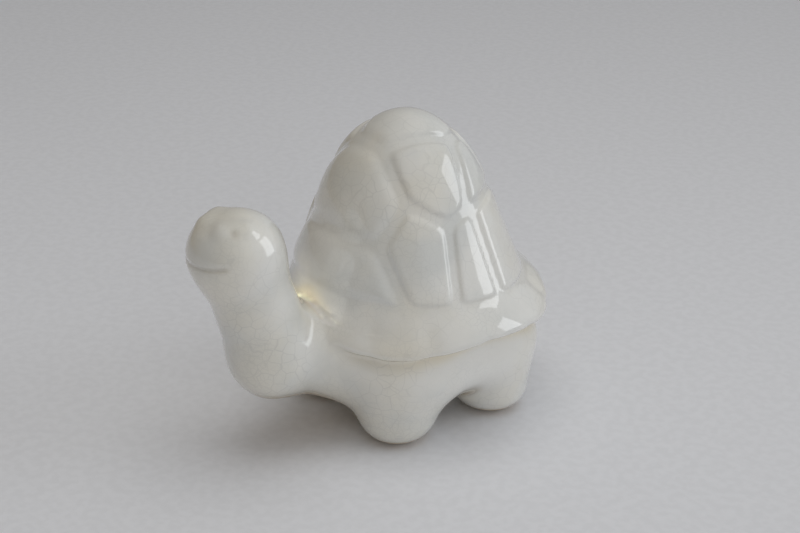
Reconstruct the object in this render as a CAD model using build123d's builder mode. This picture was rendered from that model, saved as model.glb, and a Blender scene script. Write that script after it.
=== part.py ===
"""A standing turtle ornament in white crackle glaze: hollow earthenware castings luted into one rigid piece.

Millimetres, Z up, head towards minus Y, the turtle's left towards plus X. The origin is on the floor, under
the middle of the whole length from snout to rear rim.
"""
import os
from math import asin, cos, degrees, pi, radians, sin, sqrt

from build123d import *

os.makedirs("parts", exist_ok=True)

# Driving sizes of the dome, an egg that runs out into a cone at the shoulder
egg_half_width = 33.1
egg_half_height = 56.8
egg_centre_height = 48.2
shoulder_height = 80.0
wall = 4.0

# Driving sizes of the rim that the dome flares into, which lies further back and dips over the legs
rim_top_height = 54.0
rim_bottom_height = 37.4
rim_reach = 8.9
rim_setback = 3.4
rim_wave = 1.6
rim_seat_inset = 0.8

# Driving sizes of the body under the shell
body_step = 2.5
body_rounding = 13.8
belly_height = 14.9
belly_hole_radius = 2.0

# Driving sizes of the legs, with azimuths in degrees from the front
foot_radius = 12.4
foot_rounding = 8.2
leg_straight_height = 10.0
leg_flare = 4.6
leg_flare_height = 27.0
leg_top_flare = 2.6
front_leg_inset = 12.6
rear_leg_inset = 10.0
front_leg_azimuth = 48
rear_leg_azimuth = 134

# Driving sizes of the neck and head, with reaches measured from the front of the body
chest_inset = 16.2
chest_height = 29.0
chest_radius = 17.0
elbow_reach = 13.4
elbow_height = 34.4
elbow_radius = 14.6
neck_top_radius = 13.2
head_reach = 26.2
head_height = 72.9
head_half_width = 14.4
head_half_length = 15.0
head_half_height = 13.4
head_joint_drop = 5.5
eye_radius = 2.4
brow_radius = 1.9
mouth_gap = 0.8
mouth_depth = 0.7

# Driving sizes of the tail, measured from the back of the body and the underside of the rim
tail_root_inset = 6.8
tail_root_drop = 9.4
tail_tip_reach = 3.7
tail_tip_drop = 12.4
tail_root_radius = 9.0
tail_tip_radius = 2.4

# Scutes: azimuth from the front in degrees, share of the shell height, reach as a share of the egg width
scute_relief = 1.3
scute_groove_width = 4.2
scute_foot_height = 54.6
scute_shares = (
    (0, 1.00, 0.27),
    (0, 0.56, 0.42),
    (73, 0.82, 0.22),
    (123, 0.77, 0.195),
    (180, 0.75, 0.215),
    (0, 0.20, 0.545),
    (44, 0.45, 0.29),
    (100, 0.45, 0.095),
    (128, 0.45, 0.225),
    (180, 0.42, 0.255),
)

# Rim sections: shares of the rim's reach outwards, of its height downwards, and of its setback and wave
rim_shares = (
    (0.06, 0.10, 0.05),
    (0.18, 0.21, 0.15),
    (0.32, 0.30, 0.32),
    (0.48, 0.39, 0.50),
    (0.65, 0.48, 0.70),
    (0.81, 0.58, 0.85),
    (0.93, 0.67, 0.95),
    (1.00, 0.77, 1.00),
    (0.98, 0.85, 1.00),
    (0.91, 0.89, 1.00),
    (0.80, 0.91, 1.00),
)
rim_waves = 4
points_per_wave = 6

# Face places as shares of the head's half sizes, across, ahead and up
eye_shares = (0.56, 0.38, 0.76)
brow_start_shares = (0.34, 0.52, 0.74)
brow_end_shares = (0.58, 0.09, 0.75)
mouth_height_share = 0.02
mouth_back_share = 0.62

# How much larger than the shape a cutting block is
cutter_share = 2.0


def shoulder(skin):
    """Half width of the dome at the shoulder, and how much wider it gets for each length below."""
    half_width = egg_half_width + skin
    half_height = egg_half_height + skin
    rise = (shoulder_height - egg_centre_height) / half_height
    flat = sqrt(1 - rise**2)
    return half_width * flat, half_width * rise / (half_height * flat)


def dome_radius(height, skin):
    """Half width of the dome at a height above the floor, larger than the groove floor by the skin."""
    if height < shoulder_height:
        shoulder_radius, slant = shoulder(skin)
        return shoulder_radius + slant * (shoulder_height - height)
    rise = (height - egg_centre_height) / (egg_half_height + skin)
    return (egg_half_width + skin) * sqrt(max(0, 1 - rise**2))


# Sizes that follow from the driving ones
dome_top = egg_centre_height + egg_half_height
rim_inner_radius = dome_radius(rim_top_height, -wall)
rim_joint_radius = dome_radius(rim_top_height, 0)
rim_drop = rim_top_height - rim_bottom_height
body_half_width = rim_joint_radius + body_step
chest_forward = body_half_width - chest_inset
elbow_forward = body_half_width + elbow_reach
head_forward = body_half_width + head_reach
front_reach = head_forward + head_half_length
rear_reach = rim_joint_radius + rim_reach + rim_setback
shell_y = (front_reach - rear_reach) / 2
shell_place = Location((0, shell_y, 0))


def dome_solid(skin):
    """The dome down to the underside of the rim, larger than the groove floor by the skin."""
    centre = (0, egg_centre_height)
    half_width = egg_half_width + skin
    half_height = egg_half_height + skin
    start = degrees(asin((shoulder_height - egg_centre_height) / half_height))
    lowest_radius = dome_radius(rim_bottom_height, skin)
    with BuildPart() as dome:
        with BuildSketch(Plane.XZ):
            with BuildLine():
                egg = EllipticalCenterArc(centre, half_width, half_height, start, arc_size=90 - start)
                Polyline(egg @ 1, (0, rim_bottom_height), (lowest_radius, rim_bottom_height), egg @ 0)
            make_face()
        revolve(axis=Axis.Z)
    return shell_place * dome.part


def body_solid(skin):
    """The round-bottomed tub under the rim, larger than the glazed outside by the skin."""
    half_width = body_half_width + skin
    floor_height = belly_height - skin
    with BuildPart() as tub:
        with BuildSketch(Plane.XZ) as outline:
            with BuildLine():
                Polyline((0, floor_height), (half_width, floor_height), (half_width, rim_bottom_height))
                Polyline((half_width, rim_bottom_height), (0, rim_bottom_height), (0, floor_height))
            make_face()
            fillet(outline.vertices().sort_by_distance((half_width, floor_height))[0], body_rounding + skin)
        revolve(axis=Axis.Z)
    return shell_place * tub.part


def ellipsoid(centre, half_width, half_length, half_height):
    """An egg with three half sizes."""
    with BuildPart() as ball:
        Sphere(half_width)
        scale(by=(1, half_length / half_width, half_height / half_width))
    return Location(centre) * ball.part


def forward_point(forward, height):
    """A point in the middle plane, ahead of the shell axis."""
    return Vector(0, shell_y - forward, height)


def limb(start, end, start_radius, end_radius):
    """Adds a round tapered length between two points to the part that is being built."""
    run = end - start
    with BuildSketch(Plane(origin=start, x_dir=(1, 0, 0), z_dir=run)) as first:
        Circle(start_radius)
    with BuildSketch(Plane(origin=end, x_dir=(1, 0, 0), z_dir=run)) as last:
        Circle(end_radius)
    loft([first.sketch.face(), last.sketch.face()])


def rim_section(radius, height, follow_share):
    """A closed line round the shell that follows a share of the rim's setback and wave."""
    count = rim_waves * points_per_wave
    points = []
    for number in range(count):
        turn = 2 * pi * number / count
        back = rim_setback * follow_share - radius * cos(turn)
        rise = rim_wave * follow_share * cos(rim_waves * turn)
        points.append((radius * sin(turn), shell_y + back, height + rise))
    with BuildLine() as ring:
        Spline(*points, periodic=True)
    return ring.wire()


# Solid rim and body that the other castings are trimmed to
rim_sections = [rim_section(rim_joint_radius, rim_top_height, 0)]
for out_share, down_share, follow_share in rim_shares:
    out = rim_joint_radius + rim_reach * out_share
    rim_sections.append(rim_section(out, rim_top_height - rim_drop * down_share, follow_share))
rim_sections.append(rim_section(body_half_width - rim_seat_inset, rim_bottom_height, 0))
rim_block = Solid.make_loft(rim_sections, ruled=True)
body_block = body_solid(0)


# Scutes
def scute_middle(azimuth, height_share):
    """Middle of a scute on the dome."""
    height = rim_bottom_height + (dome_top - rim_bottom_height) * height_share
    radius = dome_radius(height, 0)
    return Vector(radius * sin(radians(azimuth)), shell_y - radius * cos(radians(azimuth)), height)


def groove_side(middle, reach, other_middle, other_reach):
    """Side wall of a scute towards a neighbour, half a groove short of the line between the two."""
    gap = other_middle - middle
    to_line = (gap.length**2 + reach**2 - other_reach**2) / (2 * gap.length)
    foot = middle + gap.normalized() * (to_line - scute_groove_width / 2)
    return Plane(origin=foot, z_dir=gap * -1)


seeds = []
for azimuth, height_share, reach_share in scute_shares:
    for side in sorted({azimuth, -azimuth % 360}):
        seeds.append((scute_middle(side, height_share), 2 * egg_half_width * reach_share))

scute_dome = dome_solid(scute_relief)
scutes = []
for number, seed in enumerate(seeds):
    with BuildPart() as scute:
        with BuildSketch(Plane.XY.offset(scute_foot_height)):
            with Locations((0, shell_y)):
                Circle(egg_half_width * cutter_share)
        extrude(amount=dome_top)
        for other in seeds[:number] + seeds[number + 1 :]:
            split(bisect_by=groove_side(*seed, *other), keep=Keep.TOP)
        add(scute_dome, mode=Mode.INTERSECT)
    scutes.append(scute.part)

# Carapace
with BuildPart() as carapace:
    add(dome_solid(0))
    add(scutes)
    add(dome_solid(-wall), mode=Mode.SUBTRACT)
    split(bisect_by=Plane.XY.offset(rim_top_height), keep=Keep.TOP)
carapace.part.label = "carapace"
export_step(carapace.part, "parts/carapace.step")

# Marginal rim
with BuildPart() as marginal_rim:
    add(rim_block)
    with BuildSketch(Plane.XY.offset(rim_bottom_height)):
        with Locations((0, shell_y)):
            Circle(rim_inner_radius)
    extrude(amount=rim_drop, mode=Mode.SUBTRACT)
marginal_rim.part.label = "marginal_rim"
export_step(marginal_rim.part, "parts/marginal_rim.step")

# Neck, from the body round the elbow to the head joint
chest = forward_point(chest_forward, chest_height)
elbow = forward_point(elbow_forward, elbow_height)
head_centre = forward_point(head_forward, head_height)
neck_rise = (head_centre - elbow).normalized()
head_joint = head_centre - neck_rise * head_joint_drop


def neck_solid(skin):
    """Chest, elbow and upright of the neck, larger than the glazed outside by the skin."""
    with BuildPart() as run:
        limb(chest, elbow, chest_radius + skin, elbow_radius + skin)
        with Locations(chest):
            Sphere(chest_radius + skin)
        with Locations(elbow):
            Sphere(elbow_radius + skin)
        limb(elbow, head_joint, elbow_radius + skin, neck_top_radius + skin)
    return run.part


neck_block = neck_solid(0)
neck_bore = neck_solid(-wall)
with BuildPart() as neck:
    add(neck_block)
    add(neck_bore, mode=Mode.SUBTRACT)
    add(body_block, mode=Mode.SUBTRACT)
    add(rim_block, mode=Mode.SUBTRACT)
neck.part.label = "neck"
export_step(neck.part, "parts/neck.step")

# Body, open under the rim, with the air way to the neck and the belly hole
with BuildPart() as body:
    add(body_block)
    add(body_solid(-wall), mode=Mode.SUBTRACT)
    add(neck_bore, mode=Mode.SUBTRACT)
    with BuildSketch(Plane.XY.offset(belly_height)):
        with Locations((0, shell_y)):
            Circle(belly_hole_radius)
    extrude(amount=wall, mode=Mode.SUBTRACT)
body.part.label = "body"
export_step(body.part, "parts/body.step")


# Head with brows, eye hollows and mouth line
def head_solid(skin):
    """The head's egg shape, larger than the glazed outside by the skin."""
    return ellipsoid(head_centre, head_half_width + skin, head_half_length + skin, head_half_height + skin)


def face_point(shares, side):
    """A place on the head from shares of its half sizes, on one side of the middle plane."""
    across, ahead, up = shares
    offset = Vector(side * head_half_width * across, -head_half_length * ahead, head_half_height * up)
    return head_centre + offset


mouth_height = head_height + head_half_height * mouth_height_share
mouth_back = head_centre.Y - head_half_length * mouth_back_share
mouth_reach = 2 * head_half_width * cutter_share
with BuildPart() as mouth:
    with BuildSketch(Plane.XY.offset(mouth_height)):
        with Locations((0, mouth_back)):
            Rectangle(mouth_reach, mouth_reach, align=(Align.CENTER, Align.MAX))
    extrude(amount=mouth_gap)
    add(head_solid(-mouth_depth), mode=Mode.SUBTRACT)

with BuildPart() as head:
    add(head_solid(0))
    for side in (1, -1):
        brow_start = face_point(brow_start_shares, side)
        brow_end = face_point(brow_end_shares, side)
        limb(brow_start, brow_end, brow_radius, brow_radius)
        with Locations(brow_start, brow_end):
            Sphere(brow_radius)
        with Locations(face_point(eye_shares, side)):
            Sphere(eye_radius, mode=Mode.SUBTRACT)
    add(mouth.part, mode=Mode.SUBTRACT)
    add(head_solid(-wall), mode=Mode.SUBTRACT)
    split(bisect_by=Plane(origin=head_joint, z_dir=neck_rise), keep=Keep.TOP)
head.part.label = "head"
export_step(head.part, "parts/head.step")

# Legs
leg_places = {
    "front_left_leg": (front_leg_azimuth, front_leg_inset),
    "front_right_leg": (-front_leg_azimuth, front_leg_inset),
    "rear_left_leg": (rear_leg_azimuth, rear_leg_inset),
    "rear_right_leg": (-rear_leg_azimuth, rear_leg_inset),
}
flare_point = (foot_radius + leg_flare, leg_flare_height)
top_point = (foot_radius + leg_top_flare, rim_bottom_height)
with BuildPart() as leg_shape:
    with BuildSketch(Plane.XZ) as leg_outline:
        with BuildLine():
            Polyline((0, rim_bottom_height), (0, 0), (foot_radius, 0), (foot_radius, leg_straight_height))
            Spline((foot_radius, leg_straight_height), flare_point, top_point, tangents=((0, 1), (0, 1)))
            Line(top_point, (0, rim_bottom_height))
        make_face()
        fillet(leg_outline.vertices().sort_by_distance((foot_radius, 0))[0], foot_rounding)
    revolve(axis=Axis.Z)
for leg_name, (azimuth, inset) in leg_places.items():
    ring_radius = body_half_width - inset
    leg_x = ring_radius * sin(radians(azimuth))
    leg_y = shell_y - ring_radius * cos(radians(azimuth))
    with BuildPart() as leg:
        add(Location((leg_x, leg_y, 0)) * leg_shape.part)
        add(body_block, mode=Mode.SUBTRACT)
        add(rim_block, mode=Mode.SUBTRACT)
        add(neck_block, mode=Mode.SUBTRACT)
    leg.part.label = leg_name
    export_step(leg.part, f"parts/{leg_name}.step")

# Tail
tail_root = forward_point(tail_root_inset - body_half_width, rim_bottom_height - tail_root_drop)
tail_tip = forward_point(-body_half_width - tail_tip_reach, rim_bottom_height - tail_tip_drop)
with BuildPart() as tail:
    limb(tail_root, tail_tip, tail_root_radius, tail_tip_radius)
    with Locations(tail_tip):
        Sphere(tail_tip_radius)
    add(body_block, mode=Mode.SUBTRACT)
    add(rim_block, mode=Mode.SUBTRACT)
tail.part.label = "tail"
export_step(tail.part, "parts/tail.step")
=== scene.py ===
"""Looks of a glazed turtle ornament, sculpted around its packed castings.

Slip and glaze leave the luted castings under one smooth skin. The skin is sculpted here as one distance
field, meshed, and cut along the lines where the castings meet. Each casting keeps a closed piece of its own,
and no joint shows.
"""
from itertools import product
from math import cos, pi, radians, sin

import bpy
import numpy as np
from bpy.props import FloatProperty, FloatVectorProperty, PointerProperty
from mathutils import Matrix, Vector


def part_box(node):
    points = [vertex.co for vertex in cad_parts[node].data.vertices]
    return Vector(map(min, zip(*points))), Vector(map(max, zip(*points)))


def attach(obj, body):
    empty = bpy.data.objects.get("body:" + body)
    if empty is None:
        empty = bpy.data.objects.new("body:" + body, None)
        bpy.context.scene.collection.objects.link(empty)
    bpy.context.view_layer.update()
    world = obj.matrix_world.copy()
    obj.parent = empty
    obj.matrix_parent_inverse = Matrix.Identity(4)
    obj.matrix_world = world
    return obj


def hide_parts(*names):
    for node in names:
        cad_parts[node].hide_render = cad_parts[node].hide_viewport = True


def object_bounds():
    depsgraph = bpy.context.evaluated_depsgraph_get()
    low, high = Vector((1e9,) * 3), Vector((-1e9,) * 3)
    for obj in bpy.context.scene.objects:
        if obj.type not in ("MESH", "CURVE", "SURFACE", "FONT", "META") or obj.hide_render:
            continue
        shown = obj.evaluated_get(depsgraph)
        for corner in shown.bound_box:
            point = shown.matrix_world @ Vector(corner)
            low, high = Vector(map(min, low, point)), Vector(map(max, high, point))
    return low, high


bl_info = {
    "name": "Glazed turtle ornament",
    "version": (1, 0, 0),
    "blender": (4, 5, 0),
    "location": "3D View > Sidebar > Turtle",
    "description": "Sculpts and glazes a standing turtle ornament around its castings",
    "category": "Object",
}

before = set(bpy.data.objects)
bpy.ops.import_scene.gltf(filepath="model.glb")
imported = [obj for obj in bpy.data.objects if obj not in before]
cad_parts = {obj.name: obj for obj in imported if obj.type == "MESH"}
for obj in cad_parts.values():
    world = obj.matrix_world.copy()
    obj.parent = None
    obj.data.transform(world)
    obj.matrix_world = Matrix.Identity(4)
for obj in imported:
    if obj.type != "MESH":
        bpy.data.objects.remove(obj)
CAD_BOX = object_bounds()
MM = 0.001

# Steps over which the slopes of the fields, and the normals of the skin, are measured
SLOPE_STEP = 0.2 * MM
NORMAL_STEP = 0.25 * MM

# Places that the frame gives: the shell axis, the joint under the dome, and the joint under the rim
DOME_LOW, DOME_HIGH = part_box("carapace")
SHELL_Y = (DOME_LOW.y + DOME_HIGH.y) / 2
DOME_JOINT = DOME_LOW.z
RIM_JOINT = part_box("body")[1].z

# Scutes: azimuth from the front in degrees, share of the shell height, reach as a share of the egg width
SCUTE_SHARES = (
    (0, 1.00, 0.27),
    (0, 0.56, 0.42),
    (74, 0.82, 0.24),
    (123, 0.77, 0.18),
    (180, 0.75, 0.215),
    (0, 0.20, 0.545),
    (44, 0.45, 0.29),
    (100, 0.45, 0.12),
    (128, 0.45, 0.225),
    (180, 0.42, 0.255),
)

# Share of the scutes' relief that lies at their edges, and the azimuth inside which the grooves get softer
EDGE_SHARE = 0.65
FRONT_AZIMUTH = radians(75)

# Rim: how many plates it has, and how far it droops for each length that it reaches out
RIM_PLATES = 14
RIM_DROOP = 0.45

# Legs: how much a foot widens for each foot radius of height, and the azimuths of the legs in degrees
LEG_FLARE = 0.07
LEG_AZIMUTHS = {
    "front_left_leg": 48,
    "front_right_leg": -48,
    "rear_left_leg": 134,
    "rear_right_leg": -134,
}

# Face: places as shares of the head's half sizes, across, along and up, with the front at minus 1
EYE_SHARES = np.array((0.56, -0.38, 0.76))
BROW_SHARES = np.array(((0.34, -0.52, 0.74), (0.58, -0.09, 0.75)))
MUZZLE_SHARES = np.array((0.0, -0.80, 0.35))

# Noise patterns: how many clouds, patches or grains of each lie on a metre
FINE_PATCHES = 45.0
LONG_PATCHES = 28.0
GREY_CLOUDS = 38.0
WARM_CLOUDS = 24.0
GLOSS_SPECKS = 120.0
RIPPLES = 160.0
FLOOR_GRAINS = 300.0

# Lamps: azimuth and elevation in degrees, then distance, width and height in metres, and colour
LAMPS = {
    "window": (145, 15, 2.4, 1.1, 1.9, (0.93, 0.965, 1.0)),
    "ceiling": (53, 88, 0.55, 0.4, 0.4, (1.0, 0.99, 0.96)),
    "fill": (75, 16, 1.2, 0.6, 0.6, (1.0, 0.99, 0.97)),
    "beam": (-75, 28, 0.4, 0.01, 0.01, (1.0, 0.92, 0.75)),
}


def length(name, description, millimetres):
    """A size that a user may change, in metres, given here in millimetres."""
    return FloatProperty(
        name=name,
        description=description,
        default=millimetres * MM,
        unit="LENGTH",
        subtype="DISTANCE",
        precision=5,
    )


def colour(name, description, value):
    """A colour that a user may change."""
    return FloatVectorProperty(
        name=name, description=description, default=value, size=3, subtype="COLOR", min=0, max=1
    )


def power(name, description, watts):
    """The strength of a lamp, which a user may change."""
    return FloatProperty(name=name, description=description, default=watts, min=0, precision=5)


class TurtleForm(bpy.types.PropertyGroup):
    """Sizes of the glazed skin. Forward distances are measured from the shell axis."""

    mesh_step: length("Mesh step", "Distance between the points of the skin", 0.8)
    skin_depth: length("Skin depth", "How thick the closed skin of each piece is", 1.6)
    # How far the hollow measure looks; it drives pooled glaze and painted warm shade in creases and crevices
    pool_and_shade_reach: length("Pool reach", "How near two faces come where the glaze pools between them", 5.0)

    dome_radius: length("Dome radius", "Half the width of the egg that closes the dome", 33.1)
    dome_start: length("Dome start", "Height of the egg's middle", 48.2)
    dome_rise: length("Dome rise", "Half the height of the egg", 56.8)
    shoulder: length("Shoulder", "Height where the egg runs out into a cone", 80.0)
    scute_relief: length("Scute relief", "How far the scutes stand over the grooves", 1.45)
    scute_foot: length("Scute foot", "Height where the lowest scutes end above the rim", 50.3)
    scute_foot_rise: length("Scute foot rise", "How much higher the scutes end at the front", 2.6)
    scute_pillow: length("Scute pillow", "How far from its edge a scute goes on bulging", 12.0)
    groove_floor: length("Groove floor", "Half the width of the flat floor of a groove", 1.0)
    groove_reach: length("Groove reach", "How soft the sides of a groove are", 1.2)
    front_softness: length("Front softness", "How much softer the sides of a groove are at the front", 1.8)
    groove_corner: length("Groove corner", "How round the corners of the scutes are", 0.9)

    rim_setback: length("Rim setback", "How far the rim's axis lies behind the shell axis", 3.0)
    rim_radius: length("Rim radius", "Distance of the middle of the rolled rim from its axis", 38.2)
    rim_height: length("Rim height", "Height of the middle of the rolled rim", 43.5)
    rim_half_width: length("Rim half width", "How far the rim reaches out from its middle", 8.2)
    rim_half_height: length("Rim half height", "How far the rim reaches up from its middle", 3.6)
    rim_wave: length("Rim wave", "How far the rim dips over each leg", 1.8)
    plate_relief: length("Plate relief", "How far the rim's plates stand over their notches", 0.35)
    plate_edge: length("Plate edge", "How soft the edges of the rim's plates are", 3.4)
    rim_blend: length("Rim blend", "Fillet between the dome and the rim", 5.0)

    body_radius: length("Body radius", "Half the width of the body under the rim", 39.8)
    body_flare: length("Body flare", "How much wider the body is under the rim", 0.8)
    body_waist: length("Body waist", "Height where the body begins to widen to the rim", 26.0)
    body_top: length("Body top", "Height of the top of the body inside the rim", 43.0)
    belly_height: length("Belly height", "Height of the underside", 14.9)
    body_rounding: length("Body rounding", "Radius of the body's lower edge", 13.8)
    vent_radius: length("Vent radius", "Half the width of the vent in the belly", 2.0)
    vent_depth: length("Vent depth", "How deep the vent shows", 3.0)
    foot_radius: length("Foot radius", "Half the width of a foot", 12.4)
    foot_rounding: length("Foot rounding", "Radius of a foot's lower edge", 8.2)
    leg_top: length("Leg top", "Height of the top of a leg inside the body", 34.0)
    front_leg_ring: length("Front leg ring", "Distance of the front legs from the shell axis", 27.6)
    rear_leg_ring: length("Rear leg ring", "Distance of the rear legs from the shell axis", 30.2)
    leg_blend: length("Leg blend", "Fillet between the legs and the body", 14.0)

    tail_root_forward: length("Tail root forward", "Place of the tail's root", -33.0)
    tail_root_height: length("Tail root height", "Height of the tail's root", 28.0)
    tail_root_radius: length("Tail root radius", "Half the width of the tail's root", 9.0)
    tail_tip_forward: length("Tail tip forward", "Place of the tail's tip", -43.5)
    tail_tip_height: length("Tail tip height", "Height of the tail's tip", 25.0)
    tail_tip_radius: length("Tail tip radius", "Half the width of the tail's tip", 2.4)
    tail_blend: length("Tail blend", "Fillet between the tail and the body", 4.0)

    chest_forward: length("Chest forward", "Place of the neck's root in the body", 24.0)
    chest_height: length("Chest height", "Height of the neck's root", 29.0)
    chest_radius: length("Chest radius", "Half the width of the neck's root", 17.0)
    elbow_forward: length("Elbow forward", "Place where the neck turns up", 53.65)
    elbow_height: length("Elbow height", "Height where the neck turns up", 34.4)
    elbow_radius: length("Elbow radius", "Half the width of the neck where it turns up", 14.5)
    neck_radius: length("Neck radius", "Half the width of the neck under the head", 13.0)
    neck_blend: length("Neck blend", "Fillet between the neck and the body", 11.0)

    head_forward: length("Head forward", "Place of the middle of the head", 66.42)
    head_height: length("Head height", "Height of the middle of the head", 72.9)
    head_half_width: length("Head half width", "Half the width of the head", 14.4)
    head_half_length: length("Head half length", "Half the length of the head", 14.53)
    head_half_height: length("Head half height", "Half the height of the head", 13.47)
    head_blend: length("Head blend", "Fillet between the head and the neck", 8.0)
    head_joint: length("Head joint", "How far under the middle of the head the neck ends", 5.5)
    crown: length("Crown", "Height of the flat crown over the middle of the head", 12.6)
    crown_rounding: length("Crown rounding", "How soft the edge of the crown is", 6.0)
    brow_radius: length("Brow radius", "Half the width of a brow ridge", 1.9)
    eye_radius: length("Eye radius", "Half the width of an eye hollow", 2.4)
    muzzle_reach: length("Muzzle reach", "How far the muzzle stands out over the mouth", 0.8)
    muzzle_size: length("Muzzle size", "How wide the swelling of the muzzle is", 7.0)
    mouth_depth: length("Mouth depth", "Depth of the line of the mouth", 0.75)
    mouth_width: length("Mouth width", "How wide the line of the mouth is", 0.9)
    mouth_rise: length("Mouth rise", "How much higher the corners of the mouth are", 0.8)
    mouth_corner: length("Mouth corner", "How far ahead of the middle of the head the mouth ends", 9.0)


class TurtleGlaze(bpy.types.PropertyGroup):
    """Colours and scale of the glaze."""

    white: colour("Glaze white", "Colour of the glaze on open faces", (0.79, 0.785, 0.75))
    grey: colour("Glaze grey", "Colour of the cooler clouds in the glaze", (0.68, 0.69, 0.67))
    # Colour of pooled glaze, also used as painted warm shade in creases and crevices, and for the warm
    # clouds in the glaze
    pool: colour("Pooled glaze", "Colour of thick glaze in hollows", (0.78, 0.73, 0.60))
    stain: colour("Stain", "Colour of the stain in the mouth and the eyes", (0.26, 0.19, 0.12))
    crack: colour("Crack", "Colour of the stained cracks", (0.34, 0.34, 0.34))
    # Unglazed colour of the foot band; faces that look down also take it as painted shade under the body
    clay_and_under_shade: colour("Bare clay", "Colour of the unglazed edge under the feet", (0.45, 0.34, 0.20))
    crack_cell: length("Crack cell", "Usual distance between fine cracks", 2.2)
    fine_crack: length("Fine crack", "How wide the fine cracks are", 0.15)
    long_crack: length("Long crack", "How wide the long cracks are", 0.22)
    bare_height: length("Bare height", "Height under which the feet are bare", 2.0)
    glaze_height: length("Glaze height", "Height from which the glaze covers the feet", 3.4)
    ripple_depth: length("Ripple depth", "How deep the ripples of the glaze are", 0.4)
    roughness: FloatProperty(
        name="Roughness", description="Roughness of the glaze", default=0.06, min=0, max=1
    )


class TurtleStage(bpy.types.PropertyGroup):
    """Camera, light and floor."""

    floor: colour("Floor", "Colour of the floor", (0.83, 0.845, 0.89))
    azimuth: FloatProperty(
        name="Camera azimuth", description="Angle from the front", default=radians(53.2), subtype="ANGLE"
    )
    elevation: FloatProperty(
        name="Camera elevation", description="Angle above the floor", default=radians(26.0), subtype="ANGLE"
    )
    distance: length("Camera distance", "Distance from the camera to the object", 600)
    lens: FloatProperty(
        name="Lens", description="Focal length in millimetres", default=78.3, subtype="DISTANCE_CAMERA"
    )
    near: length("Near", "Distance from which the camera sees", 10.0)
    target_height: length("Target height", "Height on the shell axis that the camera turns round", 36.0)
    picture_right: length("Picture right", "How far the turtle is moved right in the picture", 1.55)
    picture_low: length("Picture low", "How far the turtle is moved down in the picture", 12.7)
    floor_half: length("Floor half", "Half the side of the floor", 4000.0)
    lamp_height: length("Lamp height", "Height on the shell axis that the lamps face", 40.0)
    gap_across: length("Gap across", "Place beside the middle plane that the beam faces", 2.0)
    gap_forward: length("Gap forward", "Place ahead of the shell axis that the beam faces", 42.0)
    gap_height: length("Gap height", "Height that the beam faces", 49.0)
    beam_spread: FloatProperty(
        name="Beam spread", description="How wide the beam is", default=radians(3), subtype="ANGLE"
    )
    window_power: power("Window power", "Strength of the window light", 8.6)
    ceiling_power: power("Ceiling power", "Strength of the light from above", 0.68)
    fill_power: power("Fill power", "Strength of the low light", 1.5)
    beam_power: power("Beam power", "Strength of the beam behind the neck", 0.00055)
    room_light: FloatProperty(
        name="Room light", description="Strength of the light all round", default=0.535, min=0
    )
    room_bright: colour("Bright side", "Colour of the room on the window's side", (0.96, 0.98, 1.0))
    room_dim: colour("Dim side", "Colour of the room on the other side", (0.37, 0.32, 0.255))


# Distance fields that the sculpture is made of
def soft_union(first, second, reach):
    """Joins two fields with a fillet."""
    overlap = np.maximum(reach - np.abs(first - second), 0) / reach
    return np.minimum(first, second) - overlap**2 * reach / 4


def soft_cut(first, second, reach):
    """Takes the second field away from the first with a soft edge."""
    return -soft_union(-first, second, reach)


def egg(points, centre, half_sizes):
    """A ball with three half sizes."""
    offset = (points - centre) / half_sizes
    near = np.linalg.norm(offset, axis=1)
    slope = np.linalg.norm(offset / half_sizes, axis=1)
    return near * (near - 1) / np.maximum(slope, 1e-9)


def limb(points, start, end, start_radius, end_radius):
    """A round tapered length between two points."""
    run = end - start
    along = np.clip((points - start) @ run / (run @ run), 0, 1)
    middle = start + along[:, None] * run
    return np.linalg.norm(points - middle, axis=1) - (start_radius + (end_radius - start_radius) * along)


def rounded_drum(radius, height, low, high, half_width, rounding):
    """An upright drum with rounded edges, from distances to its axis and heights."""
    across = radius - half_width + rounding
    up = np.abs(height - (low + high) / 2) - (high - low) / 2 + rounding
    corner = np.hypot(np.maximum(across, 0), np.maximum(up, 0))
    return corner + np.minimum(np.maximum(across, up), 0) - rounding


def smooth_step(share):
    """Eases from 0 to 1."""
    share = np.clip(share, 0, 1)
    return share**2 * (3 - 2 * share)


def shell_point(forward, height):
    """A point in the middle plane, ahead of the shell axis."""
    return np.array((0, SHELL_Y - forward, height))


def from_axis(points):
    """Distance from the shell axis, and azimuth from the front."""
    ahead = SHELL_Y - points[:, 1]
    return np.hypot(points[:, 0], ahead), np.arctan2(points[:, 0], ahead)


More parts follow.
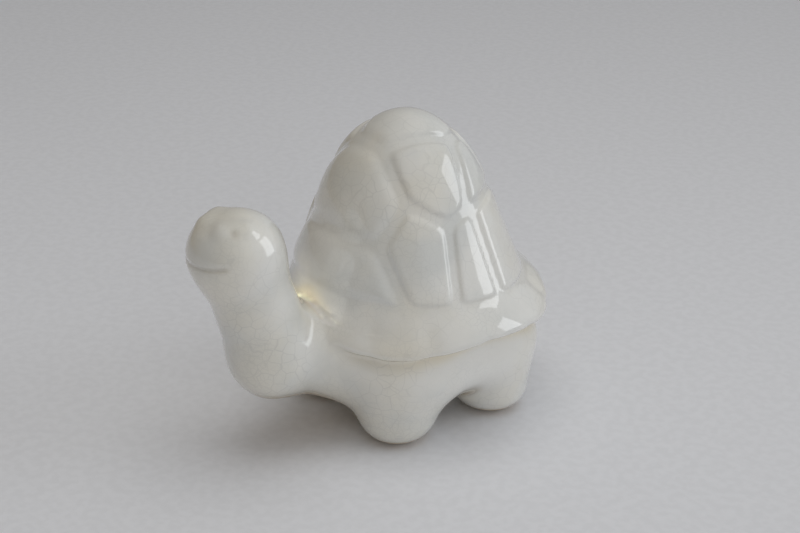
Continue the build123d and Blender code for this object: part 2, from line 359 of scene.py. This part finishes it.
class Sculpture:
    """The fields of the turtle's castings and of the skin over all of them."""

    def __init__(self, form):
        self.form = form
        self.head_centre = shell_point(form.head_forward, form.head_height)
        self.head_half_sizes = np.array((form.head_half_width, form.head_half_length, form.head_half_height))
        self.elbow = shell_point(form.elbow_forward, form.elbow_height)
        rise = (form.shoulder - form.dome_start) / form.dome_rise
        self.shoulder_radius = form.dome_radius * (1 - rise**2) ** 0.5
        self.slant = form.dome_radius * rise / (form.dome_rise * (1 - rise**2) ** 0.5)
        dome_top = form.dome_start + form.dome_rise
        self.seeds = []
        self.reaches = []
        for azimuth, height_share, reach_share in SCUTE_SHARES:
            height = RIM_JOINT + (dome_top - RIM_JOINT) * height_share
            radius = self.dome_radius(height)
            for side in sorted({azimuth, -azimuth % 360}):
                turn = radians(side)
                self.seeds.append((radius * sin(turn), SHELL_Y - radius * cos(turn), height))
                self.reaches.append(2 * form.dome_radius * reach_share)
        self.seeds = np.array(self.seeds)
        self.reaches = np.array(self.reaches)
        self.seed_gaps = np.linalg.norm(self.seeds[:, None] - self.seeds[None], axis=2)
        np.fill_diagonal(self.seed_gaps, 1)

    # Shell
    def dome_radius(self, height):
        """Half width of the dome at a height, at the floor of the grooves."""
        form = self.form
        if height < form.shoulder:
            return self.shoulder_radius + self.slant * (form.shoulder - height)
        return form.dome_radius * max(1 - ((height - form.dome_start) / form.dome_rise) ** 2, 0) ** 0.5

    def foot(self, azimuth):
        """Height of the groove under the scutes."""
        return self.form.scute_foot + self.form.scute_foot_rise * np.cos(azimuth)

    def groove_distance(self, points):
        """How far each point is from the nearest groove, with rounded corners."""
        form = self.form
        power = ((points[:, None] - self.seeds[None]) ** 2).sum(axis=2) - self.reaches**2
        home = power.argmin(axis=1)
        rows = np.arange(len(points))
        edges = (power - power[rows, home][:, None]) / (2 * self.seed_gaps[home])
        _, azimuth = from_axis(points)
        edges[rows, home] = points[:, 2] - self.foot(azimuth)
        lowest = edges.min(axis=1)
        corner = form.groove_corner
        return lowest - corner * np.log(np.exp((lowest[:, None] - edges) / corner).sum(axis=1))

    def relief(self, points):
        """Height of the scutes over the groove floor."""
        form = self.form
        distance = np.maximum(self.groove_distance(points), 0)
        _, azimuth = from_axis(points)
        softer = 1 - smooth_step(np.abs(azimuth) / FRONT_AZIMUTH)
        reach = form.groove_reach + form.front_softness * softer
        edge = 1 - np.exp(-((np.maximum(distance - form.groove_floor, 0) / reach) ** 2))
        pillow = smooth_step(distance / form.scute_pillow)
        return form.scute_relief * (EDGE_SHARE * edge + (1 - EDGE_SHARE) * pillow)

    def dome(self, points):
        """An egg that runs out into a cone, without the scutes."""
        form = self.form
        radius, _ = from_axis(points)
        height = points[:, 2]
        beyond = radius - self.shoulder_radius - self.slant * (form.shoulder - height)
        cone = beyond / (1 + self.slant**2) ** 0.5
        flat = np.stack([radius, np.zeros_like(radius), height - form.dome_start], axis=1)
        top = egg(flat, np.zeros(3), np.array((form.dome_radius, form.dome_radius, form.dome_rise)))
        return np.where(height > form.shoulder, top, cone)

    def rim(self, points):
        """A roll with a drooping lip that dips over the legs."""
        form = self.form
        radius, azimuth = from_axis(points - (0, form.rim_setback, 0))
        out = radius - form.rim_radius
        up = points[:, 2] - form.rim_height - form.rim_wave * np.cos(4 * azimuth) + RIM_DROOP * out
        flat = np.stack([out, np.zeros_like(out), up], axis=1)
        half_sizes = np.array((form.rim_half_width, form.rim_half_width, form.rim_half_height))
        return egg(flat, np.zeros(3), half_sizes)

    def plates(self, points):
        """Height of the rim's plates over the notches between them and the groove under the scutes."""
        form = self.form
        radius, azimuth = from_axis(points)
        plate = 2 * pi / RIM_PLATES
        to_notch = np.abs(azimuth % plate - plate / 2) * radius
        to_foot = np.maximum(self.foot(azimuth) - points[:, 2], 0)
        edges = (1 - np.exp(-((gap / form.plate_edge) ** 2)) for gap in (to_notch, to_foot))
        return form.plate_relief * np.prod(list(edges), axis=0)

    def shell(self, points):
        """The dome with its scutes, and the rim with its plates."""
        form = self.form
        dome = -soft_union(-self.dome(points), points[:, 2] - form.rim_height, form.rim_blend)
        field = soft_union(dome, self.rim(points), form.rim_blend)
        close = np.abs(field) < 8 * form.scute_relief
        if close.any():
            field[close] -= self.relief(points[close]) + self.plates(points[close])
        return field

    # Body and legs
    def body(self, points):
        form = self.form
        radius, _ = from_axis(points)
        wider = np.maximum(points[:, 2] - form.body_waist, 0) / (form.rim_height - form.body_waist)
        radius = radius - form.body_flare * wider**2
        high = form.body_top + form.body_rounding
        tub = rounded_drum(
            radius, points[:, 2], form.belly_height, high, form.body_radius, form.body_rounding
        )
        vent = np.maximum(radius - form.vent_radius, points[:, 2] - form.belly_height - form.vent_depth)
        return np.maximum(np.maximum(tub, points[:, 2] - form.body_top), -vent)

    def leg(self, points, name):
        form = self.form
        turn = radians(LEG_AZIMUTHS[name])
        ring = form.front_leg_ring if name.startswith("front") else form.rear_leg_ring
        across = points[:, 0] - ring * sin(turn)
        along = points[:, 1] - SHELL_Y + ring * cos(turn)
        flare = 1 + LEG_FLARE * points[:, 2] / form.foot_radius
        radius = np.hypot(across, along) / flare
        return rounded_drum(radius, points[:, 2], 0, form.leg_top, form.foot_radius, form.foot_rounding)

    def legs(self, points):
        return np.minimum.reduce([self.leg(points, name) for name in LEG_AZIMUTHS])

    def tail(self, points):
        form = self.form
        root = shell_point(form.tail_root_forward, form.tail_root_height)
        tip = shell_point(form.tail_tip_forward, form.tail_tip_height)
        return limb(points, root, tip, form.tail_root_radius, form.tail_tip_radius)

    # Neck and head
    def neck(self, points):
        form = self.form
        chest = shell_point(form.chest_forward, form.chest_height)
        low = limb(points, chest, self.elbow, form.chest_radius, form.elbow_radius)
        upright = limb(points, self.elbow, self.head_centre, form.elbow_radius, form.neck_radius)
        return soft_union(low, upright, form.neck_blend / 2)

    def head(self, points):
        """An egg with a flat crown, brows over the eyes, a full muzzle and the line of the mouth."""
        form = self.form
        half_sizes = self.head_half_sizes
        offset = points - self.head_centre
        offset[:, 0] = np.abs(offset[:, 0])
        field = egg(offset, np.zeros(3), half_sizes)
        field = -soft_union(-field, form.crown - offset[:, 2], form.crown_rounding)
        muzzle = np.linalg.norm(offset - half_sizes * MUZZLE_SHARES, axis=1) / form.muzzle_size
        field -= form.muzzle_reach * np.exp(-(muzzle**2))
        brow_start, brow_end = half_sizes * BROW_SHARES
        brow = limb(offset, brow_start, brow_end, form.brow_radius, form.brow_radius)
        field = soft_union(field, brow, form.brow_radius)
        eye = np.linalg.norm(offset - half_sizes * EYE_SHARES, axis=1) - form.eye_radius
        field = soft_cut(field, eye, form.eye_radius)
        return field + form.mouth_depth * self.mouth(offset)

    def mouth(self, offset):
        """1 on the line of the mouth and 0 away from it, from offsets to the middle of the head."""
        form = self.form
        lips = offset[:, 2] - form.mouth_rise * (offset[:, 0] / form.mouth_corner) ** 2
        ahead = smooth_step((-offset[:, 1] - form.mouth_corner) / form.brow_radius)
        return ahead * np.exp(-((lips / form.mouth_width) ** 2))

    def stain(self, points):
        """How much brown stain lies in the line of the mouth and in the eye hollows."""
        offset = points - self.head_centre
        offset[:, 0] = np.abs(offset[:, 0])
        eye = np.linalg.norm(offset - self.head_half_sizes * EYE_SHARES, axis=1) / self.form.eye_radius
        return np.maximum(self.mouth(offset), np.exp(-(eye**2)))

    # All of it
    def whole(self, points):
        """The glazed skin over all the castings."""
        form = self.form
        low = self.body(points)
        for name in LEG_AZIMUTHS:
            low = soft_union(low, self.leg(points, name), form.leg_blend)
        low = soft_union(low, self.neck(points), form.neck_blend)
        low = soft_union(low, self.tail(points), form.tail_blend)
        skin = soft_union(self.shell(points), low, form.scute_relief)
        skin = soft_union(skin, self.head(points), form.head_blend)
        return np.maximum(skin, -points[:, 2])


def slope(field, points, step):
    """Gradient of a field, by differences."""
    found = np.empty_like(points)
    for axis in range(3):
        shift = np.zeros(3)
        shift[axis] = step
        found[:, axis] = (field(points + shift) - field(points - shift)) / (2 * step)
    return found


class Skin:
    """The meshed skin, and the faces of each casting once it is cut."""

    def __init__(self, sculpture, step):
        self.sculpture = sculpture
        self.step = step
        self.points, faces = self.net()
        self.settle(np.arange(len(self.points)))
        self.pieces = {}
        self.part(faces)
        self.normals = slope(sculpture.whole, self.points, NORMAL_STEP)
        self.normals /= np.linalg.norm(self.normals, axis=1)[:, None]
        # Hollow measure: how near other faces lie. It tints pooled glaze and painted warm shade into creases
        # and crevices
        reach = sculpture.form.pool_and_shade_reach
        self.hollows = np.clip(1 - sculpture.whole(self.points + reach * self.normals) / reach, 0, 1)

    def net(self):
        """Points and quads where the field changes sign, found on a grid that is fine only near the skin."""
        coarse = 4
        low = np.array(CAD_BOX[0]) - 3.5 * self.step
        blocks = np.ceil((np.array(CAD_BOX[1]) + 4 * self.step - low) / (coarse * self.step)).astype(int)
        axes = [np.arange(n + 1) * coarse * self.step for n in blocks]
        corners = np.stack(np.meshgrid(*axes, indexing="ij"), axis=-1).reshape(-1, 3) + low
        rough = self.sculpture.whole(corners).reshape(blocks + 1)
        near = np.abs(rough) < coarse * self.step * 2.2
        wide = near.copy()
        for shift in product((-1, 0, 1), repeat=3):
            wide |= np.roll(near, shift, axis=(0, 1, 2))
        for axis in range(3):
            rough = np.repeat(rough, coarse, axis=axis)
            wide = np.repeat(wide, coarse, axis=axis)
        value = rough
        chosen = np.argwhere(wide)
        value[tuple(chosen.T)] = self.sculpture.whole(low + chosen * self.step)

        cells = np.array(value.shape) - 1
        places = np.array(list(product((0, 1), repeat=3)))
        inside = value < 0
        counts = np.zeros(cells, int)
        for i, j, k in places:
            counts += inside[i : cells[0] + i, j : cells[1] + j, k : cells[2] + k]
        mixed = np.argwhere((counts > 0) & (counts < 8))
        number = np.full(cells, -1)
        number[tuple(mixed.T)] = np.arange(len(mixed))
        corner_values = np.stack([value[tuple((mixed + place).T)] for place in places], axis=1)
        total = np.zeros((len(mixed), 3))
        hits = np.zeros(len(mixed))
        for first, second in product(range(8), repeat=2):
            if first < second and np.abs(places[first] - places[second]).sum() == 1:
                a, b = corner_values[:, first], corner_values[:, second]
                crossed = (a < 0) != (b < 0)
                share = a[crossed] / (a[crossed] - b[crossed])
                total[crossed] += places[first] + share[:, None] * (places[second] - places[first])
                hits[crossed] += 1
        points = low + (mixed + total / hits[:, None]) * self.step

        faces = []
        for axis in range(3):
            ahead = np.eye(3, dtype=int)[axis]
            one, two = np.eye(3, dtype=int)[[(axis + 1) % 3, (axis + 2) % 3]]
            start = inside[tuple(slice(0, n) for n in np.array(value.shape) - ahead)]
            end = inside[tuple(slice(s, None) for s in ahead)]
            for edge in np.argwhere(start != end):
                ring = [number[tuple(edge - one - two)], number[tuple(edge - two)]]
                ring += [number[tuple(edge)], number[tuple(edge - one)]]
                faces.append(ring if start[tuple(edge)] else ring[::-1])
        return points, faces

    def settle(self, rows):
        """Moves points onto the skin."""
        for _ in range(3):
            at = self.points[rows]
            steep = slope(self.sculpture.whole, at, SLOPE_STEP)
            move = self.sculpture.whole(at) / np.maximum((steep**2).sum(axis=1), 0.2)
            move = np.clip(move, -self.step / 2, self.step / 2)
            self.points[rows] = at - move[:, None] * steep

    def slide(self, rows, side):
        """Moves points along the skin onto the line where the side field is zero."""
        for _ in range(3):
            at = self.points[rows]
            normal = slope(self.sculpture.whole, at, SLOPE_STEP)
            normal /= np.linalg.norm(normal, axis=1)[:, None]
            steep = slope(side, at, SLOPE_STEP)
            steep -= (steep * normal).sum(axis=1)[:, None] * normal
            move = side(at) / np.maximum((steep**2).sum(axis=1), 0.05)
            move = np.clip(move, -self.step / 2, self.step / 2)
            self.points[rows] = at - move[:, None] * steep
            self.settle(rows)

    def cut(self, faces, side):
        """Cuts faces along the line where a side field is zero, and gives those below and those above it."""
        used = np.unique(np.concatenate([np.array(f) for f in faces]))
        value = np.full(len(self.points), np.inf)
        value[used] = side(self.points[used])
        close = used[np.abs(value[used]) < 0.3 * self.step]
        if len(close):
            self.slide(close, side)
        value[close] = 0
        below, above, added, middle = [], [], [], {}
        for face in faces:
            signs = [np.sign(value[v]) for v in face]
            if max(signs) <= 0 or min(signs) >= 0:
                total = sum(value[v] for v in face)
                (below if total < 0 or (total == 0 and max(signs) <= 0) else above).append(face)
                continue
            low, high = [], []
            for v, sign, after, after_sign in zip(face, signs, face[1:] + face[:1], signs[1:] + signs[:1]):
                if sign <= 0:
                    low.append(v)
                if sign >= 0:
                    high.append(v)
                if sign * after_sign < 0:
                    pair = (min(v, after), max(v, after))
                    if pair not in middle:
                        share = value[pair[0]] / (value[pair[0]] - value[pair[1]])
                        added.append(self.points[pair[0]] * (1 - share) + self.points[pair[1]] * share)
                        middle[pair] = len(self.points) + len(added) - 1
                    low.append(middle[pair])
                    high.append(middle[pair])
            below.append(low)
            above.append(high)
        if added:
            start = len(self.points)
            self.points = np.concatenate([self.points, np.array(added)])
            self.slide(np.arange(start, len(self.points)), side)
        return below, above

    def part(self, faces):
        """Gives each casting its faces."""
        s = self.sculpture
        rise = s.head_centre - s.elbow
        rise /= np.linalg.norm(rise)

        def low_field(points):
            low = np.minimum(s.body(points), s.legs(points))
            return np.minimum(np.minimum(low, s.tail(points)), np.minimum(s.neck(points), s.head(points)))

        shell, rest = self.cut(faces, lambda p: s.shell(p) - low_field(p))
        rim, dome = self.cut(shell, lambda p: p[:, 2] - DOME_JOINT)
        body, front = self.cut(
            rest, lambda p: np.minimum(s.body(p), s.legs(p)) - np.minimum(s.neck(p), s.head(p))
        )
        neck, head = self.cut(front, lambda p: (p - s.head_centre) @ rise + s.form.head_joint)
        for name in LEG_AZIMUTHS:
            self.pieces[name], body = self.cut(
                body, lambda p: s.leg(p, name) - np.minimum(s.body(p), s.tail(p))
            )
        tail, body = self.cut(body, lambda p: s.tail(p) - s.body(p))
        self.pieces.update(marginal_rim=rim, carapace=dome, neck=neck, head=head, tail=tail, body=body)

    def object(self, name, depth):
        """Builds the closed piece of one casting: its part of the skin, the same inwards, and the edges."""
        faces = self.pieces[name]
        used = np.unique(np.concatenate([np.array(f) for f in faces]))
        place = {old: new for new, old in enumerate(used)}
        outer = [[place[v] for v in face] for face in faces]
        count = len(used)
        inner = [[v + count for v in reversed(face)] for face in outer]
        edges = {(a, b) for face in outer for a, b in zip(face, face[1:] + face[:1])}
        strips = [[b, a, a + count, b + count] for a, b in edges if (b, a) not in edges]
        normals = self.normals[used]
        points = np.concatenate([self.points[used], self.points[used] - depth * normals])
        mesh = bpy.data.meshes.new(name + "_skin")
        mesh.from_pydata(points.tolist(), [], outer + inner + sorted(strips))
        mesh.shade_smooth()
        mesh.normals_split_custom_set_from_vertices(np.concatenate([normals, -normals]).tolist())
        # The hollow measure carries pooled glaze and painted warm shade; the stain marks the mouth and the
        # eyes
        tints = {"hollow": self.hollows[used], "stain": self.sculpture.stain(self.points[used])}
        for key, shares in tints.items():
            mesh.attributes.new(key, "FLOAT", "POINT").data.foreach_set("value", np.tile(shares, 2))
        piece = bpy.data.objects.new(name + "_skin", mesh)
        bpy.context.scene.collection.objects.link(piece)
        return piece


made = {}


def skin():
    """The skin of the whole turtle, meshed once."""
    if "skin" not in made:
        form = bpy.context.scene.turtle_form
        step = form.mesh_step * 1
        made["skin"] = Skin(Sculpture(form), step)
    return made["skin"]


# Material
class Wire:
    """A socket in a material, on which arithmetic adds Math nodes."""

    def __init__(self, tree, socket=None):
        self.tree = tree
        self.socket = socket

    def node(self, kind, settings, sockets, output=0):
        """Adds a node with its settings, then its socket values or links, and gives one of its outputs."""
        added = self.tree.nodes.new(kind)
        for key, value in settings.items():
            setattr(added, key, value)
        for key, value in sockets.items():
            if isinstance(value, Wire):
                self.tree.links.new(value.socket, added.inputs[key])
            else:
                added.inputs[key].default_value = value
        return Wire(self.tree, added.outputs[output]) if added.outputs else added

    def maths(self, operation, *values):
        return self.node("ShaderNodeMath", {"operation": operation}, dict(enumerate(values)))

    def __add__(self, other):
        return self.maths("ADD", self, other)

    def __sub__(self, other):
        return self.maths("SUBTRACT", self, other)

    def __rsub__(self, other):
        return self.maths("SUBTRACT", other, self)

    def __mul__(self, other):
        return self.maths("MULTIPLY", self, other)

    __radd__ = __add__
    __rmul__ = __mul__

    def ease(self, low, high):
        """1 below the low value and 0 above the high one."""
        settings = {"interpolation_type": "SMOOTHSTEP"}
        return self.node("ShaderNodeMapRange", settings, {0: self, 1: low, 2: high, 3: 1.0, 4: 0.0})

    def tint(self, base, other):
        """Mixes two colours by this value."""
        return self.node("ShaderNodeMix", {"data_type": "RGBA"}, {0: self, 6: base, 7: other}, output=2)


def rgba(value):
    """A colour property as a shader value."""
    return (*value, 1)


def glaze_material():
    """White crackle glaze over pale earthenware that shows unglazed under the feet, with painted warm shade
    in the hollows and painted shade on the faces that look down.
    """
    if "glaze" in made:
        return made["glaze"]
    look = bpy.context.scene.turtle_glaze
    material = bpy.data.materials.new("crackle_glaze")
    material.use_nodes = True
    tree = material.node_tree
    tree.nodes.clear()
    start = Wire(tree)
    place = start.node("ShaderNodeTexCoord", {}, {}, output="Object")
    height = start.node("ShaderNodeSeparateXYZ", {}, {0: place}, output="Z")

    def noise(scale, detail=2.0):
        return start.node("ShaderNodeTexNoise", {}, {"Vector": place, "Scale": scale, "Detail": detail})

    def cracks(cell, width, warp):
        """Thin lines round cells of a given size, bent by the warp, in metres."""
        winding = {"Vector": place, "Scale": 0.35 / cell, "Detail": 3.0}
        bend = start.node("ShaderNodeTexNoise", {}, winding, output=1)
        bend = start.node("ShaderNodeVectorMath", {"operation": "SCALE"}, {0: bend, "Scale": warp})
        bent = start.node("ShaderNodeVectorMath", {"operation": "ADD"}, {0: place, 1: bend})
        settings = {"feature": "DISTANCE_TO_EDGE", "voronoi_dimensions": "3D"}
        distance = start.node("ShaderNodeTexVoronoi", settings, {"Vector": bent, "Scale": 1 / cell})
        return distance.ease(0.0, width / cell)

    cell = look.crack_cell
    fine = cracks(cell, look.fine_crack, 1.6 * cell) * noise(FINE_PATCHES).ease(0.62, 0.38)
    long = cracks(2.0 * cell, look.long_crack, 2.4 * cell) * noise(LONG_PATCHES).ease(0.70, 0.36)
    crazing = start.maths("MAXIMUM", 0.14 * fine, 0.21 * long)
    clouds = noise(GREY_CLOUDS, 4.0).ease(0.64, 0.38)
    base = clouds.tint(rgba(look.white), rgba(look.grey))
    base = (0.45 * noise(WARM_CLOUDS, 5.0).ease(0.66, 0.44)).tint(base, rgba(look.pool))
    hollow = start.node("ShaderNodeAttribute", {"attribute_name": "hollow"}, {}, output="Fac")
    stain = start.node("ShaderNodeAttribute", {"attribute_name": "stain"}, {}, output="Fac")
    # Pooled glaze and painted warm shade in the hollows
    base = (1 - hollow.ease(0.05, 0.8)).tint(base, rgba(look.pool))
    base = (0.22 * (1 - stain.ease(0.20, 1.0))).tint(base, rgba(look.stain))
    base = crazing.tint(base, rgba(look.crack))
    facing = start.node("ShaderNodeNewGeometry", {}, {}, output="Normal")
    facing = start.node("ShaderNodeSeparateXYZ", {}, {0: facing}, output="Z")
    # The unglazed band at the foot of the legs, and painted shade under the body: faces that look down take
    # the unglazed colour
    bare_and_under_shade = start.maths("MAXIMUM", height.ease(look.bare_height, look.glaze_height), facing.ease(-0.9, -0.6))
    base = bare_and_under_shade.tint(base, rgba(look.clay_and_under_shade))
    rough = look.roughness + 0.05 * noise(GLOSS_SPECKS) + 0.6 * bare_and_under_shade
    wavy = {"Height": noise(RIPPLES, 1.0), "Strength": 0.08, "Distance": look.ripple_depth}
    ripple = start.node("ShaderNodeBump", {}, wavy)
    shader = start.node(
        "ShaderNodeBsdfPrincipled",
        {},
        {
            "Base Color": base,
            "Roughness": rough,
            "Normal": ripple,
            "IOR": 1.55,
            "Coat Weight": 1.0,
            "Coat Roughness": 0.03,
            "Coat IOR": 1.65,
            "Coat Normal": ripple,
        },
    )
    start.node("ShaderNodeOutputMaterial", {}, {"Surface": shader})
    made["glaze"] = material
    return material


def dress(node):
    """Puts the glazed piece of one casting in place of its node."""
    piece = skin().object(node, bpy.context.scene.turtle_form.skin_depth)
    piece.data.materials.append(glaze_material())
    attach(piece, "root")
    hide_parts(node)


# Operators
class TURTLE_OT_shell(bpy.types.Operator):
    """Makes the dome with its scutes, and the rim round it"""

    bl_idname = "turtle.shell"
    bl_label = "Shell"

    def execute(self, context):
        dress("carapace")
        dress("marginal_rim")
        return {"FINISHED"}


class TURTLE_OT_body(bpy.types.Operator):
    """Makes the body under the rim"""

    bl_idname = "turtle.body"
    bl_label = "Body"

    def execute(self, context):
        dress("body")
        return {"FINISHED"}


class TURTLE_OT_legs(bpy.types.Operator):
    """Makes the four legs"""

    bl_idname = "turtle.legs"
    bl_label = "Legs"

    def execute(self, context):
        for name in LEG_AZIMUTHS:
            dress(name)
        return {"FINISHED"}


class TURTLE_OT_neck(bpy.types.Operator):
    """Makes the neck"""

    bl_idname = "turtle.neck"
    bl_label = "Neck"

    def execute(self, context):
        dress("neck")
        return {"FINISHED"}


class TURTLE_OT_head(bpy.types.Operator):
    """Makes the head with its face"""

    bl_idname = "turtle.head"
    bl_label = "Head"

    def execute(self, context):
        dress("head")
        return {"FINISHED"}


class TURTLE_OT_tail(bpy.types.Operator):
    """Makes the tail"""

    bl_idname = "turtle.tail"
    bl_label = "Tail"

    def execute(self, context):
        dress("tail")
        return {"FINISHED"}


def towards(azimuth, elevation):
    """Direction from the object, with azimuth 0 at its front and 90 degrees at its left."""
    return Vector((sin(azimuth) * cos(elevation), -cos(azimuth) * cos(elevation), sin(elevation)))


def lamp(name, power, aim):
    """A soft rectangular lamp that faces a point and that the camera doesn't see."""
    azimuth, elevation, distance, width, height, tint = LAMPS[name]
    data = bpy.data.lights.new(name, "AREA")
    data.shape = "RECTANGLE"
    data.size = width
    data.size_y = height
    data.energy = power
    data.color = tint
    thing = bpy.data.objects.new(name, data)
    away = towards(radians(azimuth), radians(elevation))
    thing.location = aim + away * distance
    thing.rotation_euler = away.to_track_quat("Z", "Y").to_euler()
    thing.visible_camera = False
    thing.visible_glossy = name == "window"
    bpy.context.scene.collection.objects.link(thing)
    return thing


class TURTLE_OT_stage(bpy.types.Operator):
    """Makes the floor, the light and the camera"""

    bl_idname = "turtle.stage"
    bl_label = "Stage"

    def execute(self, context):
        scene = context.scene
        look = scene.turtle_stage
        scene.view_settings.view_transform = "Standard"

        half = look.floor_half
        mesh = bpy.data.meshes.new("floor")
        corners = [(-half, -half, 0), (half, -half, 0), (half, half, 0), (-half, half, 0)]
        mesh.from_pydata(corners, [], [(0, 1, 2, 3)])
        floor = bpy.data.objects.new("floor", mesh)
        scene.collection.objects.link(floor)
        material = bpy.data.materials.new("pale_floor")
        material.use_nodes = True
        tree = material.node_tree
        tree.nodes.clear()
        start = Wire(tree)
        place = start.node("ShaderNodeTexCoord", {}, {}, output="Object")
        grain = start.node("ShaderNodeTexNoise", {}, {"Vector": place, "Scale": FLOOR_GRAINS, "Detail": 2.0})
        pale = tuple(min(1, 1.04 * c) for c in look.floor)
        shade = grain.ease(0.35, 0.65).tint(rgba(look.floor), rgba(pale))
        shader = start.node("ShaderNodeBsdfPrincipled", {}, {"Base Color": shade, "Roughness": 0.7})
        start.node("ShaderNodeOutputMaterial", {}, {"Surface": shader})
        mesh.materials.append(material)

        world = bpy.data.worlds.new("room")
        world.use_nodes = True
        tree = world.node_tree
        tree.nodes.clear()
        start = Wire(tree)
        direction = start.node("ShaderNodeTexCoord", {}, {}, output="Generated")
        across = (cos(look.azimuth), sin(look.azimuth), 0.0)
        settings = {"operation": "DOT_PRODUCT"}
        side = start.node("ShaderNodeVectorMath", settings, {0: direction, 1: across}, output=1)
        light = side.ease(-0.9, 0.9).tint(rgba(look.room_bright), rgba(look.room_dim))
        camera_ray = start.node("ShaderNodeLightPath", {}, {}, output="Is Camera Ray")
        shown = camera_ray.tint(light, rgba(look.floor))
        background = start.node("ShaderNodeBackground", {}, {"Color": shown, "Strength": look.room_light})
        start.node("ShaderNodeOutputWorld", {}, {"Surface": background})
        scene.world = world

        middle = Vector((0, SHELL_Y, look.lamp_height))
        lamp("window", look.window_power, middle)
        lamp("ceiling", look.ceiling_power, middle)
        lamp("fill", look.fill_power, middle)
        gap = Vector((look.gap_across, SHELL_Y - look.gap_forward, look.gap_height))
        beam = lamp("beam", look.beam_power, gap)
        beam.data.spread = look.beam_spread

        away = towards(look.azimuth, look.elevation)
        across = Vector((cos(look.azimuth), sin(look.azimuth), 0))
        up = away.cross(across)
        target = Vector((0, SHELL_Y, look.target_height))
        aim = target - look.picture_right * across + look.picture_low * up
        eye = target + away * look.distance
        data = bpy.data.cameras.new("photo_view")
        data.lens = look.lens
        data.clip_start = look.near
        camera = bpy.data.objects.new("photo_view", data)
        camera.location = eye
        camera.rotation_euler = (eye - aim).to_track_quat("Z", "Y").to_euler()
        scene.collection.objects.link(camera)
        scene.camera = camera
        return {"FINISHED"}


class TURTLE_PT_panel(bpy.types.Panel):
    """Lists the pieces and their sizes"""

    bl_idname = "TURTLE_PT_panel"
    bl_label = "Turtle"
    bl_space_type = "VIEW_3D"
    bl_region_type = "UI"
    bl_category = "Turtle"

    def draw(self, context):
        for operator in OPERATORS:
            self.layout.operator(operator.bl_idname)
        for settings in (context.scene.turtle_form, context.scene.turtle_glaze, context.scene.turtle_stage):
            column = self.layout.column(align=True)
            for key in settings.__annotations__:
                column.prop(settings, key)


OPERATORS = (
    TURTLE_OT_stage,
    TURTLE_OT_shell,
    TURTLE_OT_body,
    TURTLE_OT_legs,
    TURTLE_OT_neck,
    TURTLE_OT_head,
    TURTLE_OT_tail,
)
CLASSES = (TurtleForm, TurtleGlaze, TurtleStage, *OPERATORS, TURTLE_PT_panel)


def register():
    for cls in CLASSES:
        bpy.utils.register_class(cls)
    bpy.types.Scene.turtle_form = PointerProperty(type=TurtleForm)
    bpy.types.Scene.turtle_glaze = PointerProperty(type=TurtleGlaze)
    bpy.types.Scene.turtle_stage = PointerProperty(type=TurtleStage)


def unregister():
    del bpy.types.Scene.turtle_form, bpy.types.Scene.turtle_glaze, bpy.types.Scene.turtle_stage
    for cls in reversed(CLASSES):
        bpy.utils.unregister_class(cls)


def main():
    register()
    bpy.ops.turtle.stage()
    bpy.ops.turtle.shell()
    bpy.ops.turtle.body()
    bpy.ops.turtle.legs()
    bpy.ops.turtle.neck()
    bpy.ops.turtle.head()
    bpy.ops.turtle.tail()


if __name__ == "__main__":
    main()
